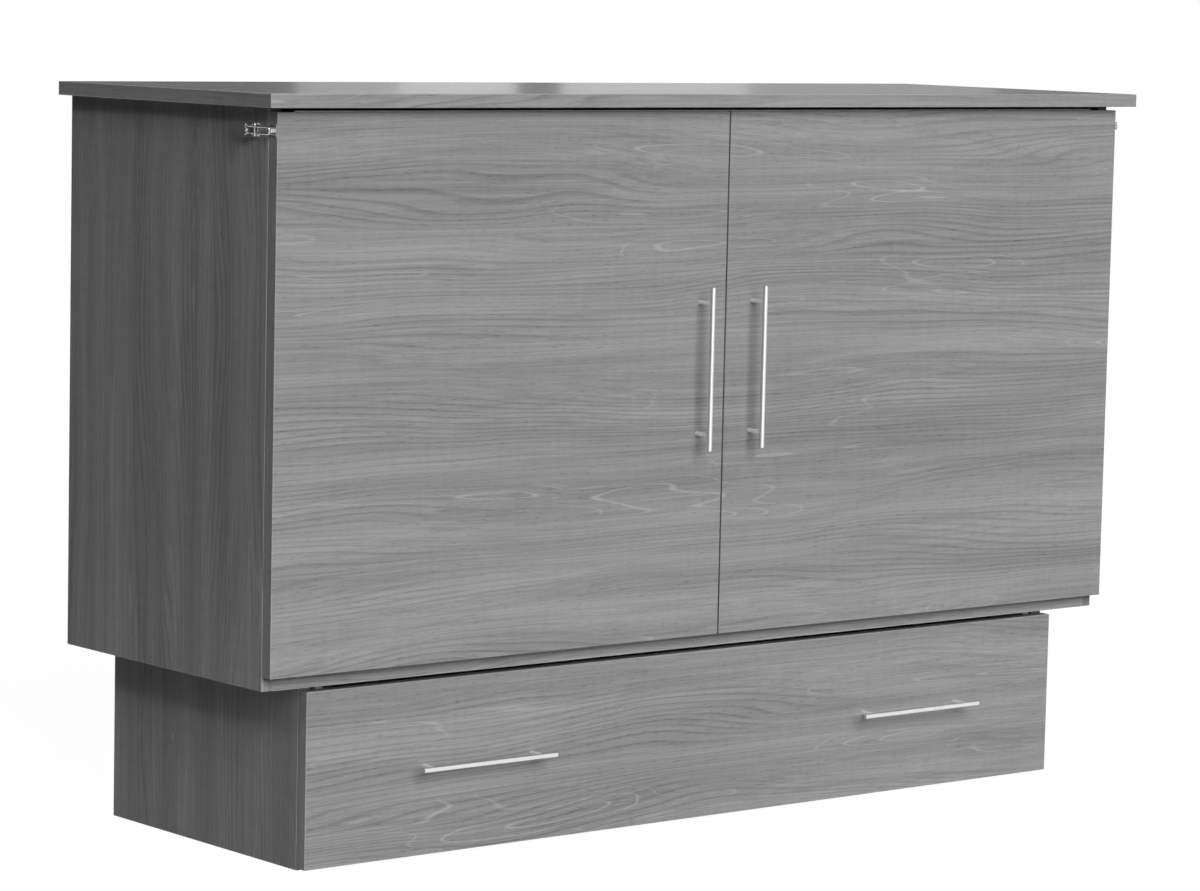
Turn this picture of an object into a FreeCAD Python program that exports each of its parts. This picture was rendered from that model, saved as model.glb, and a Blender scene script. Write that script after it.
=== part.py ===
import FreeCAD, Part
import os
import re

# Cabinet bed, closed: a carcass under a slab top stands on a narrower base with one
# rolling drawer. The front is a fold-down platform panel with a second, foot panel
# folded behind it, and the three-fold mattress stands inside.
#
# Frame: +X to the right, +Y to the back, +Z up, millimetres. The origin is on the
# floor, at the middle of the whole outline. "Face" is the plane of the front panel.

SIZES = {
    # carcass
    "cabinet_width": 1556,
    "cabinet_depth": 504,
    "cabinet_underside": 254.5,
    "board_thickness": 19,
    "back_thickness": 12,
    "edge_chamfer": 0.8,
    # slab top
    "slab_top": 1047.75,
    "slab_thickness": 19,
    "slab_front_overhang": 19.5,
    "slab_side_overhang": 24,
    "slab_back_inset": 3.5,
    # cleats under the slab
    "cleat_size": 20,
    "cleat_front_gap": 50,
    "cleat_back_gap": 2,
    "cleat_screw_front_inset": 120,
    "cleat_screw_back_inset": 90,
    # joining dowels and screws
    "dowel_radius": 4,
    "dowel_length": 32,
    "dowel_depth": 12,
    "dowel_front_inset": 90,
    "dowel_back_inset": 60,
    "screw_radius": 2.5,
    "screw_head_radius": 5,
    "screw_head_height": 3,
    # base
    "base_side_inset": 79.5,
    "base_screw_length": 60,
    "base_screw_front_inset": 110,
    "base_screw_back_inset": 60,
    # front and foot panels
    "front_gap": 1,
    "front_top_gap": 6,
    "front_foot_gap": 0.5,
    "seam_width": 3,
    "seam_depth": 4,
    "fold_gap": 1,
    "foot_side_gap": 4,
    "foot_end_gap": 4.5,
    "bumper_radius": 5,
    "bumper_low_rise": 146,
    "bumper_high_drop": 83,
    # continuous hinges
    "barrel_radius": 2.6,
    "barrel_clearance": 0.5,
    "hinge_pin_radius": 1.1,
    "hinge_running_gap": 0.05,
    "knuckle_gap": 0.4,
    "hinge_end_inset": 19,
    "leaf_width": 18,
    "leaf_thickness": 1.2,
    # bar pulls
    "pull_reach": 32.5,
    "pull_length": 232,
    "pull_radius": 3.5,
    "pull_end_chamfer": 0.5,
    "pull_post_spacing": 187,
    "pull_post_radius": 2.8,
    "pull_screw_radius": 2,
    "pull_tap_depth": 12,
    "door_pull_offset": 49,
    "door_pull_rise": 11.125,
    "drawer_pull_offset": 407,
    "drawer_pull_rise": 2.5,
    # drawer
    "drawer_set_back": 28,
    "drawer_top_gap": 8.5,
    "drawer_floor_clearance": 3,
    "drawer_side_gap": 8,
    "drawer_back_gap": 8,
    "drawer_wall": 12,
    "drawer_wall_top_gap": 4.5,
    "drawer_floor_rise": 8,
    "drawer_floor_thickness": 9,
    "groove_depth": 6,
    "guide_height": 40,
    "guide_rise": 20,
    "guide_end_gap": 10,
    "guide_gap": 0.3,
    # casters
    "wheel_radius": 24,
    "wheel_width": 20,
    "wheel_floor_gap": 0.3,
    "wheel_side_gap": 1,
    "wheel_head_gap": 12.7,
    "wheel_rim_width": 6,
    "wheel_dish_depth": 2,
    "wheel_hub_radius": 8,
    "axle_radius": 4,
    "axle_running_gap": 0.05,
    "caster_plate_width": 60,
    "caster_plate_depth": 70,
    "caster_sheet_thickness": 3,
    "caster_eye_radius": 10,
    "caster_shoulder_width": 46,
    "caster_side_inset": 81.5,
    "caster_end_inset": 60,
    # draw latches
    "latch_drop": 30.25,
    "latch_width": 17,
    "latch_sheet_thickness": 1.2,
    "latch_back": 89,
    "latch_front": 40,
    "latch_pivot_back": 46,
    "latch_pivot_out": 5,
    "latch_pin_radius": 1.5,
    "latch_eye_radius": 3.3,
    "latch_running_gap": 0.3,
    "latch_screw_radius": 3.2,
    "latch_screw_height": 1.4,
    "lever_length": 34,
    "lever_out": 10.8,
    "lever_overlap": 1.5,
    "lever_corner_radius": 5,
    "lever_eye_radius": 3.2,
    "lever_lip": 2,
    "bail_radius": 1.2,
    "bail_corner_radius": 2.4,
    "bail_end_radius": 1.3,
    "bail_half_height": 4.5,
    "bail_out": 9.5,
    "bail_back": 56,
    "bail_front": 6,
    "keeper_out": 8,
    "keeper_half_height": 2.6,
    "keeper_plate_inset": 2,
    "keeper_lip_front": 4,
    "keeper_web_back": 9,
    # mattress
    "mattress_side_gap": 9,
    "mattress_front_gap": 12.7,
    "mattress_headroom": 104.95,
    "mattress_clearance": 0.3,
    "section_gap": 1,
    "section_radius": 22,
}

doc = FreeCAD.newDocument("CabinetBed")
sheet = doc.addObject("Spreadsheet::Sheet", "Sizes")
for row, (alias, value) in enumerate(SIZES.items(), start=1):
    sheet.set(f"A{row}", alias)
    sheet.set(f"B{row}", str(value))
    sheet.setAlias(f"B{row}", alias)
doc.recompute()

parts = {}


def bound(text):
    """Turns the size names in an expression into references to the sheet."""
    return re.sub(r"[a-z]+(?:_[a-z]+)+", lambda name: "Sizes." + name.group(0), str(text))


# Planes that many pieces share, as expressions of the sizes.
FACE = "((pull_reach - cabinet_depth) / 2)"
SLAB_HALF = "(cabinet_width / 2 + slab_side_overhang)"
SLAB_UNDERSIDE = "(slab_top - slab_thickness)"
DECK_TOP = "(cabinet_underside + board_thickness)"
DECK_MIDDLE = "(cabinet_underside + board_thickness / 2)"
HALF = "(cabinet_width / 2)"
INNER = "(cabinet_width / 2 - board_thickness)"
CARCASS_FRONT = "(board_thickness + front_gap)"
BACK_INNER = "(cabinet_depth - back_thickness)"
FRONT_TOP = "(slab_top - slab_thickness - front_top_gap)"
FRONT_BOTTOM = "(cabinet_underside + board_thickness + front_foot_gap)"
HINGE_HALF = "(cabinet_width / 2 - board_thickness - hinge_end_inset)"
BASE_HALF = "(cabinet_width / 2 - base_side_inset)"
BASE_INNER = f"({BASE_HALF} - board_thickness)"
BASE_FRONT = "(drawer_set_back + board_thickness + front_gap)"
DRAWER_HALF = f"({BASE_INNER} - drawer_side_gap)"
DRAWER_BACK_OF_FACE = "(drawer_set_back + board_thickness)"
DRAWER_END = "(cabinet_depth - board_thickness - drawer_back_gap)"
DRAWER_FACE_TOP = "(cabinet_underside - drawer_top_gap)"
DRAWER_FLOOR = "(2 * wheel_radius + wheel_floor_gap + wheel_head_gap + caster_sheet_thickness)"
DRAWER_WALL_FOOT = f"({DRAWER_FLOOR} - drawer_floor_rise)"
DOOR_PULL_HEIGHT = f"(({FRONT_TOP} + {FRONT_BOTTOM}) / 2 + door_pull_rise)"
DRAWER_PULL_HEIGHT = f"(({DRAWER_FACE_TOP} + drawer_floor_clearance) / 2 + drawer_pull_rise)"
LATCH_HEIGHT = f"({SLAB_UNDERSIDE} - latch_drop)"
SECTION_THICKNESS = (
    f"(({BACK_INNER} - mattress_clearance - 2 * board_thickness - fold_gap"
    " - mattress_front_gap - 2 * section_gap) / 3)"
)
MATTRESS_FOOT = f"({DECK_TOP} + mattress_clearance)"
MATTRESS_TOP = f"({SLAB_UNDERSIDE} - mattress_headroom)"


def from_face(y):
    """A distance behind the front panel's face, as a Y in the part's frame."""
    return f"{FACE} + ({y})"


def place(obj, x, y, z):
    for axis, text in zip("xyz", (x, from_face(y), z)):
        obj.setExpression(f"Placement.Base.{axis}", bound(text))


def box(name, x, y, z):
    """A block between two values on each axis; Y counts from the face plane."""
    block = doc.addObject("Part::Box", name)
    block.setExpression("Length", bound(f"({x[1]}) - ({x[0]})"))
    block.setExpression("Width", bound(f"({y[1]}) - ({y[0]})"))
    block.setExpression("Height", bound(f"({z[1]}) - ({z[0]})"))
    place(block, x[0], y[0], z[0])
    return block


AXIS_TURNS = {
    "x": FreeCAD.Rotation(FreeCAD.Vector(0, 1, 0), 90),
    "y": FreeCAD.Rotation(FreeCAD.Vector(1, 0, 0), -90),
    "z": FreeCAD.Rotation(),
}


def rod(name, axis, radius, length, x, y, z):
    """A cylinder along an axis, from the given point towards plus."""
    cylinder = doc.addObject("Part::Cylinder", name)
    cylinder.Placement = FreeCAD.Placement(FreeCAD.Vector(), AXIS_TURNS[axis])
    cylinder.setExpression("Radius", bound(radius))
    cylinder.setExpression("Height", bound(length))
    place(cylinder, x, y, z)
    return cylinder


def fuse(name, pieces):
    joined = doc.addObject("Part::MultiFuse", name)
    joined.Shapes = pieces
    return joined


def group(name, pieces):
    together = doc.addObject("Part::Compound", name)
    together.Links = pieces
    return together


def cut(name, piece, tools):
    """Takes the tools away from a piece."""
    tool = tools[0] if len(tools) == 1 else fuse(name + "_tools", tools)
    result = doc.addObject("Part::Cut", name)
    result.Base = piece
    result.Tool = tool
    return result


def mirrored(name, piece):
    """The same piece on the other side of the middle plane."""
    twin = doc.addObject("Part::Mirroring", name)
    twin.Source = piece
    twin.Normal = (1, 0, 0)
    twin.Base = (0, 0, 0)
    return twin


ALL_EDGES = range(1, 13)


def eased(name, block, edges=ALL_EDGES, size="edge_chamfer"):
    """A board with its arrises broken a little, as edge banding leaves them."""
    doc.recompute()
    board = doc.addObject("Part::Chamfer", name)
    board.Base = block
    board.Edges = [(number, SIZES[size], SIZES[size]) for number in edges]
    return board


def keep(label, piece):
    """Names a finished sub-part."""
    piece.Label = label
    parts[label] = piece
    return piece


def keep_pair(label, piece):
    """Names a finished sub-part and its mirror image."""
    keep(f"{label}_left", piece)
    keep(f"{label}_right", mirrored(f"{label}_right_shape", piece))


# Dowels join the deck and the slab cleats to the sides; screws join base and deck.
DOWEL_ROWS = ("dowel_front_inset", "cabinet_depth / 2", "cabinet_depth - dowel_back_inset")


def deck_dowels(name):
    """The dowels between the left side and the deck, or the holes for them."""
    return [
        rod(f"{name}_{n}", "x", "dowel_radius", "dowel_length", f"-{INNER} - dowel_depth", y,
            DECK_MIDDLE)
        for n, y in enumerate(DOWEL_ROWS)
    ]


def make_slab():
    slab = box("slab_block", (f"-{SLAB_HALF}", SLAB_HALF),
               ("-slab_front_overhang", "cabinet_depth - slab_back_inset"),
               (SLAB_UNDERSIDE, "slab_top"))
    keep("top_slab", eased("slab_board", slab))


def make_sides():
    block = box("side_block", (f"-{HALF}", f"-{INNER}"), (CARCASS_FRONT, "cabinet_depth"),
                ("cabinet_underside", SLAB_UNDERSIDE))
    board = eased("side_board", block)
    keep_pair("side_panel", cut("side_panel_shape", board, deck_dowels("side_hole")))


def make_back():
    back = box("back_shape", (f"-{INNER}", INNER), (BACK_INNER, "cabinet_depth"),
               ("cabinet_underside", SLAB_UNDERSIDE))
    keep("back_panel", back)


def hinge_axis_deck():
    """Y and Z of the front hinge's axis: the corner between the deck and the panel."""
    return "(board_thickness + front_gap / 2)", f"({DECK_TOP} + front_foot_gap / 2)"


def hinge_axis_foot():
    """Y and Z of the foot hinge's axis: between the two panels, at their upper ends."""
    return "(board_thickness + fold_gap / 2)", f"({FRONT_TOP} + front_foot_gap / 2)"


def barrel_cove(name, axis):
    """Room for a hinge's barrel along an edge of a board."""
    y, z = axis
    return rod(name, "x", "barrel_radius + barrel_clearance", f"2 * {HINGE_HALF}",
               f"-{HINGE_HALF}", y, z)


# Each leaf lies in a rebate of its board. A leaf is given by the way it runs from the
# hinge's axis: back along the deck, or up or down a panel.
def leaf_box(name, axis, way):
    y, z = axis
    x = (f"-{HINGE_HALF}", HINGE_HALF)
    if way == "deck":
        return box(name, x, (y, f"{y} + leaf_width"), (f"{DECK_TOP} - leaf_thickness", DECK_TOP))
    front_side = ("board_thickness - leaf_thickness", "board_thickness")
    foot_side = ("board_thickness + fold_gap", "board_thickness + fold_gap + leaf_thickness")
    if way == "front_up":
        return box(name, x, front_side, (z, f"{z} + leaf_width"))
    return box(name, x, foot_side if way == "foot_down" else front_side, (f"{z} - leaf_width", z))


KNUCKLES = 12


def make_leaf(label, axis, way, parity):
    """A hinge leaf with every second knuckle of the barrel, bored for the pin."""
    y, z = axis
    pitch = f"({HINGE_HALF} / {KNUCKLES})"
    knuckles = []
    reliefs = []
    for n in range(2 * KNUCKLES):
        start = f"-{HINGE_HALF} + {n} * {pitch}"
        if n % 2 == parity:
            knuckles.append(rod(f"{label}_knuckle_{n}", "x", "barrel_radius",
                                f"{pitch} - knuckle_gap", f"{start} + knuckle_gap / 2", y, z))
        else:
            reliefs.append(rod(f"{label}_relief_{n}", "x", "barrel_radius + knuckle_gap",
                               f"{pitch} + knuckle_gap", f"{start} - knuckle_gap / 2", y, z))
    plate = cut(f"{label}_plate", leaf_box(f"{label}_flat", axis, way), reliefs)
    whole = fuse(f"{label}_whole", [plate] + knuckles)
    bore = rod(f"{label}_bore", "x", "hinge_pin_radius + hinge_running_gap",
               f"2 * {HINGE_HALF} + 2 * board_thickness", f"-{HINGE_HALF} - board_thickness", y, z)
    keep(label, cut(f"{label}_shape", whole, [bore]))


def make_pin(label, axis):
    y, z = axis
    keep(label, rod(f"{label}_shape", "x", "hinge_pin_radius", f"2 * {HINGE_HALF}",
                    f"-{HINGE_HALF}", y, z))


BASE_SCREW_ROWS = ("base_screw_front_inset", "cabinet_depth / 2",
                   "cabinet_depth - base_screw_back_inset")


def base_screws(name):
    """Screws down through the deck into the base, or the holes for them."""
    places = [(f"{side} * ({BASE_HALF} - board_thickness / 2)", y)
              for side in (-1, 1) for y in BASE_SCREW_ROWS]
    pieces = []
    for n, (x, y) in enumerate(places):
        shank = rod(f"{name}_shank_{n}", "z", "screw_radius", "base_screw_length",
                    x, y, f"{DECK_TOP} - base_screw_length")
        head = rod(f"{name}_head_{n}", "z", "screw_head_radius", "screw_head_height",
                   x, y, f"{DECK_TOP} - screw_head_height")
        pieces.append(fuse(f"{name}_{n}", [shank, head]))
    return pieces


def make_deck():
    block = box("deck_block", (f"-{INNER}", INNER), (CARCASS_FRONT, BACK_INNER),
                ("cabinet_underside", DECK_TOP))
    left_holes = deck_dowels("deck_hole_left")
    right_holes = [mirrored(f"deck_hole_right_{n}", hole) for n, hole in enumerate(left_holes)]
    tools = left_holes + right_holes + base_screws("deck_screw_hole")
    tools.append(barrel_cove("deck_cove", hinge_axis_deck()))
    tools.append(leaf_box("deck_rebate", hinge_axis_deck(), "deck"))
    keep("deck", cut("deck_shape", block, tools))
    left = deck_dowels("deck_dowel")
    right = [mirrored(f"deck_dowel_right_{n}", dowel) for n, dowel in enumerate(left)]
    keep("deck_dowels", group("deck_dowels_shape", left + right))


CLEAT_SCREW_ROWS = ("cleat_screw_front_inset", "cabinet_depth / 2",
                    "cabinet_depth - cleat_screw_back_inset")


def cleat_screws(name):
    """Screws up through the left cleat into the slab, or the holes for them."""
    x = f"(-{INNER} + cleat_size / 2)"
    z = f"{SLAB_UNDERSIDE} - cleat_size"
    pieces = []
    for n, y in enumerate(CLEAT_SCREW_ROWS):
        shank = rod(f"{name}_shank_{n}", "z", "screw_radius", "cleat_size + slab_thickness / 2", x, y, z)
        head = rod(f"{name}_head_{n}", "z", "screw_head_radius", "screw_head_height", x, y, z)
        pieces.append(fuse(f"{name}_{n}", [shank, head]))
    return pieces


def make_cleats():
    block = box("cleat_block", (f"-{INNER}", f"-{INNER} + cleat_size"),
                ("cleat_front_gap", f"{BACK_INNER} - cleat_back_gap"),
                (f"{SLAB_UNDERSIDE} - cleat_size", SLAB_UNDERSIDE))
    keep_pair("slab_cleat", cut("slab_cleat_shape", block, cleat_screws("cleat_hole")))
    left = cleat_screws("cleat_screw")
    right = [mirrored(f"cleat_screw_right_{n}", piece) for n, piece in enumerate(left)]
    keep("slab_cleat_screws", group("cleat_screws_shape", left + right))


def cut_slab_for_screws():
    """The slab's blind holes for the cleat screws."""
    left = cleat_screws("slab_hole")
    right = [mirrored(f"slab_hole_right_{n}", piece) for n, piece in enumerate(left)]
    keep("top_slab", cut("top_slab_shape", parts["top_slab"], left + right))


def make_base():
    block = box("base_side_block", (f"-{BASE_HALF}", f"-{BASE_INNER}"),
                (BASE_FRONT, "cabinet_depth"), ("0", "cabinet_underside"))
    keep_pair("base_side", cut("base_side_shape", eased("base_side_board", block),
                               base_screws("base_hole")))
    keep("base_back", box("base_back_shape", (f"-{BASE_INNER}", BASE_INNER),
                          ("cabinet_depth - board_thickness", "cabinet_depth"),
                          ("0", "cabinet_underside")))
    keep("base_screws", group("base_screws_shape", base_screws("base_screw")))
    guide = box("guide_shape", (f"-{BASE_INNER}", f"-{DRAWER_HALF} - guide_gap"),
                (f"{BASE_FRONT} + guide_end_gap", "cabinet_depth - board_thickness - guide_end_gap"),
                (f"{DRAWER_WALL_FOOT} + guide_rise", f"{DRAWER_WALL_FOOT} + guide_rise + guide_height"))
    keep_pair("drawer_guide", guide)


def pull_bar(name, axis, x, y, z):
    """A round bar, centred on a point, with its ends chamfered."""
    start = {"x": (f"{x} - pull_length / 2", y, z), "z": (x, y, f"{z} - pull_length / 2")}[axis]
    round_bar = rod(f"{name}_round", axis, "pull_radius", "pull_length", *start)
    return eased(name, round_bar, edges=(1, 3), size="pull_end_chamfer")


def make_pulls(prefix, y_face, z, offset, axis):
    """A pair of bar pulls: round bars, the posts that carry them and their screws."""
    bars, posts, screws, holes = [], [], [], []
    bar_y = f"{y_face} - pull_reach + pull_radius"
    sink_y = f"{y_face} + board_thickness - screw_head_height"
    for n, side in enumerate((-1, 1)):
        x = f"{side} * {offset}"
        name = f"{prefix}_pull_{n}"
        bars.append(pull_bar(f"{name}_bar", axis, x, bar_y, z))
        for m, end in enumerate((-1, 1)):
            shift = f"{end} * pull_post_spacing / 2"
            px, pz = (f"{x} + {shift}", z) if axis == "x" else (x, f"{z} + {shift}")
            seat = pull_bar(f"{name}_seat_{m}", axis, x, bar_y, z)
            post = rod(f"{name}_post_{m}", "y", "pull_post_radius", "pull_reach - pull_radius",
                       px, bar_y, pz)
            tap = rod(f"{name}_tap_{m}", "y", "pull_screw_radius", "pull_tap_depth", px,
                      f"{y_face} - pull_tap_depth", pz)
            posts.append(cut(f"{name}_post_end_{m}", post, [seat, tap]))
            shank = rod(f"{name}_screw_{m}", "y", "pull_screw_radius",
                        "board_thickness + pull_tap_depth - screw_head_height", px,
                        f"{y_face} - pull_tap_depth", pz)
            head = rod(f"{name}_screw_head_{m}", "y", "screw_head_radius", "screw_head_height",
                       px, sink_y, pz)
            screws.append(fuse(f"{name}_screw_whole_{m}", [shank, head]))
            holes.append(rod(f"{name}_hole_{m}", "y", "pull_screw_radius", "board_thickness",
                             px, y_face, pz))
            holes.append(rod(f"{name}_sink_{m}", "y", "screw_head_radius", "screw_head_height",
                             px, sink_y, pz))
    keep(f"{prefix}_pull_bars", group(f"{prefix}_bars", bars))
    keep(f"{prefix}_pull_posts", group(f"{prefix}_posts", posts))
    keep(f"{prefix}_pull_screws", group(f"{prefix}_screws", screws))
    return holes


def make_front():
    """The front panel looks like two doors: a groove marks the seam between them."""
    block = box("front_block", (f"-{HALF}", HALF), ("0", "board_thickness"),
                (FRONT_BOTTOM, FRONT_TOP))
    holes = make_pulls("front", "0", DOOR_PULL_HEIGHT, "door_pull_offset", "z")
    seam = box("front_seam", ("-seam_width / 2", "seam_width / 2"), ("-seam_depth", "seam_depth"),
               (f"{FRONT_BOTTOM} - seam_depth", f"{FRONT_TOP} + seam_depth"))
    tools = holes + [
        seam,
        barrel_cove("front_lower_cove", hinge_axis_deck()),
        barrel_cove("front_upper_cove", hinge_axis_foot()),
        leaf_box("front_lower_rebate", hinge_axis_deck(), "front_up"),
        leaf_box("front_upper_rebate", hinge_axis_foot(), "front_down"),
    ]
    keep("front_panel", cut("front_shape", eased("front_board", block), tools))


def make_bumpers():
    """Clear pads on the sides' front edges, which the closed front panel leans on."""
    pads = []
    for side in (-1, 1):
        for n, z in enumerate((f"{FRONT_BOTTOM} + bumper_low_rise", f"{FRONT_TOP} - bumper_high_drop")):
            pads.append(rod(f"bumper_{n}_{side + 1}", "y", "bumper_radius", "front_gap",
                            f"{side} * ({HALF} - board_thickness / 2)", "board_thickness", z))
    keep("front_bumpers", group("front_bumpers_shape", pads))


def make_foot():
    y0 = "board_thickness + fold_gap"
    block = box("foot_block", (f"-{INNER} + foot_side_gap", f"{INNER} - foot_side_gap"),
                (y0, f"{y0} + board_thickness"), (f"{DECK_TOP} + foot_end_gap", FRONT_TOP))
    tools = [
        barrel_cove("foot_cove", hinge_axis_foot()),
        leaf_box("foot_rebate", hinge_axis_foot(), "foot_down"),
    ]
    keep("foot_panel", cut("foot_shape", eased("foot_board", block), tools))


def make_hinges():
    make_leaf("front_hinge_deck_leaf", hinge_axis_deck(), "deck", 0)
    make_leaf("front_hinge_panel_leaf", hinge_axis_deck(), "front_up", 1)
    make_pin("front_hinge_pin", hinge_axis_deck())
    make_leaf("foot_hinge_front_leaf", hinge_axis_foot(), "front_down", 0)
    make_leaf("foot_hinge_foot_leaf", hinge_axis_foot(), "foot_down", 1)
    make_pin("foot_hinge_pin", hinge_axis_foot())


def make_drawer():
    face_block = box("drawer_face_block", (f"-{BASE_HALF}", BASE_HALF),
                     ("drawer_set_back", DRAWER_BACK_OF_FACE),
                     ("drawer_floor_clearance", DRAWER_FACE_TOP))
    holes = make_pulls("drawer", "drawer_set_back", DRAWER_PULL_HEIGHT, "drawer_pull_offset", "x")
    inner = f"({DRAWER_HALF} - drawer_wall)"
    floor = (
        (f"-{inner} - groove_depth", f"{inner} + groove_depth"),
        (f"{DRAWER_BACK_OF_FACE} - groove_depth", f"{DRAWER_END} - drawer_wall + groove_depth"),
        (DRAWER_FLOOR, f"{DRAWER_FLOOR} + drawer_floor_thickness"),
    )
    walls = (DRAWER_WALL_FOOT, "cabinet_underside - drawer_wall_top_gap")
    keep("drawer_face", cut("drawer_face_shape", eased("drawer_face_board", face_block),
                            holes + [box("face_groove", *floor)]))
    side = box("drawer_side_block", (f"-{DRAWER_HALF}", f"-{inner}"),
               (DRAWER_BACK_OF_FACE, DRAWER_END), walls)
    keep_pair("drawer_side", cut("drawer_side_shape", side, [box("side_groove", *floor)]))
    back = box("drawer_back_block", (f"-{inner}", inner),
               (f"{DRAWER_END} - drawer_wall", DRAWER_END), walls)
    keep("drawer_back", cut("drawer_back_shape", back, [box("back_groove", *floor)]))
    keep("drawer_floor", box("drawer_floor_shape", *floor))


WHEEL_HEIGHT = "(wheel_radius + wheel_floor_gap)"
FORK_HALF = "(wheel_width / 2 + wheel_side_gap)"


def fork_cheek(name, low, y):
    """A fork's cheek: it narrows from its shoulder down to the eye round the axle."""
    cheek = doc.addObject("Part::Wedge", f"{name}_taper")
    height = f"({DRAWER_FLOOR} - caster_sheet_thickness - {WHEEL_HEIGHT})"
    limits = {
        "Xmin": "0", "Xmax": "caster_sheet_thickness", "X2min": "0", "X2max": "caster_sheet_thickness",
        "Ymin": "0", "Ymax": height,
        "Zmin": "-caster_eye_radius", "Zmax": "caster_eye_radius",
        "Z2min": "-caster_shoulder_width / 2", "Z2max": "caster_shoulder_width / 2",
    }
    for limit, text in limits.items():
        cheek.setExpression(limit, bound(text))
    cheek.Placement = FreeCAD.Placement(
        FreeCAD.Vector(), FreeCAD.Rotation(FreeCAD.Vector(1, 0, 0), 90))
    place(cheek, low, y, WHEEL_HEIGHT)
    eye = rod(f"{name}_eye", "x", "caster_eye_radius", "caster_sheet_thickness", low, y, WHEEL_HEIGHT)
    return [cheek, eye]


def make_casters():
    """Four fixed casters: a folded fork, an axle and a wheel under each corner."""
    forks, axles = [], []
    rows = {
        "front": f"({DRAWER_BACK_OF_FACE} + caster_end_inset)",
        "back": f"({DRAWER_END} - caster_end_inset)",
    }
    for side, sign in (("left", -1), ("right", 1)):
        for end, y in rows.items():
            name = f"{end}_{side}"
            x = f"({sign} * ({DRAWER_HALF} - caster_side_inset))"
            plate = box(f"caster_plate_{name}",
                        (f"{x} - caster_plate_width / 2", f"{x} + caster_plate_width / 2"),
                        (f"{y} - caster_plate_depth / 2", f"{y} + caster_plate_depth / 2"),
                        (f"{DRAWER_FLOOR} - caster_sheet_thickness", DRAWER_FLOOR))
            start = f"{x} - {FORK_HALF} - caster_sheet_thickness"
            cheeks = fork_cheek(f"caster_low_{name}", start, y)
            cheeks += fork_cheek(f"caster_high_{name}", f"{x} + {FORK_HALF}", y)
            fork = fuse(f"caster_fork_{name}", [plate] + cheeks)
            axle = ("x", "axle_radius", f"2 * ({FORK_HALF} + caster_sheet_thickness)", start, y,
                    WHEEL_HEIGHT)
            forks.append(cut(f"caster_fork_bored_{name}", fork, [rod(f"caster_bore_{name}", *axle)]))
            axles.append(rod(f"caster_axle_{name}", *axle))
            make_wheel(f"wheel_{name}", x, y)
    keep("caster_forks", group("caster_forks_shape", forks))
    keep("caster_axles", group("caster_axles_shape", axles))


def make_wheel(label, x, y):
    """A caster wheel: a rim and a hub that stand out from a dished web."""
    tyre = rod(f"{label}_tyre", "x", "wheel_radius", "wheel_width", f"{x} - wheel_width / 2", y,
               WHEEL_HEIGHT)
    tools = []
    for n, start in enumerate((f"{x} - wheel_width / 2", f"{x} + wheel_width / 2 - wheel_dish_depth")):
        ring = rod(f"{label}_dish_{n}", "x", "wheel_radius - wheel_rim_width", "wheel_dish_depth",
                   start, y, WHEEL_HEIGHT)
        hub = rod(f"{label}_hub_{n}", "x", "wheel_hub_radius", "wheel_dish_depth", start, y,
                  WHEEL_HEIGHT)
        tools.append(cut(f"{label}_ring_{n}", ring, [hub]))
    tools.append(rod(f"{label}_bore", "x", "axle_radius + axle_running_gap", "wheel_width",
                     f"{x} - wheel_width / 2", y, WHEEL_HEIGHT))
    keep(label, cut(f"{label}_shape", tyre, tools))


# The draw latch is drawn on the left side and mirrored to the right. "Out" counts
# from the side panel's outer face.
def out(distance):
    return f"-{HALF} - ({distance})"


def latch_heights(half):
    return f"{LATCH_HEIGHT} - ({half})", f"{LATCH_HEIGHT} + ({half})"


def latch_sheets(name, half, x, y, eye_radius):
    """Two folded cheeks, one at each edge of a half width, with round eyes at the pivot."""
    sheets = []
    for n, low in enumerate((f"{LATCH_HEIGHT} - ({half})",
                             f"{LATCH_HEIGHT} + ({half}) - latch_sheet_thickness")):
        sheets.append(box(f"{name}_{n}", x, y, (low, f"{low} + latch_sheet_thickness")))
        sheets.append(rod(f"{name}_eye_{n}", "z", eye_radius, "latch_sheet_thickness",
                          out("latch_pivot_out"), "latch_pivot_back", low))
    return sheets


def latch_bore(name, radius):
    return rod(name, "z", radius, "latch_width", out("latch_pivot_out"), "latch_pivot_back",
               f"{LATCH_HEIGHT} - latch_width / 2")


def make_latch_plate():
    plate = box("latch_plate_flat", (out("latch_sheet_thickness"), out("0")),
                ("latch_front", "latch_back"), latch_heights("latch_width / 2"))
    ears = latch_sheets("latch_ear", "latch_width / 2", (out("latch_pivot_out"), out("0")),
                        ("latch_pivot_back - latch_eye_radius", "latch_pivot_back + latch_eye_radius"),
                        "latch_eye_radius")
    screw = rod("latch_screw_head", "x", "latch_screw_radius", "latch_screw_height",
                out("latch_sheet_thickness + latch_screw_height"),
                "latch_pivot_back + lever_length - latch_screw_radius - lever_corner_radius",
                LATCH_HEIGHT)
    whole = fuse("latch_plate_whole", [plate, screw] + ears)
    keep_pair("latch_plate", cut("latch_plate_shape", whole,
                                 [latch_bore("latch_pin_hole", "latch_pin_radius")]))
    keep_pair("latch_pin", latch_bore("latch_pin_shape", "latch_pin_radius"))


LEVER_CHEEK = "(latch_width / 2 - latch_sheet_thickness - latch_running_gap)"


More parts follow.
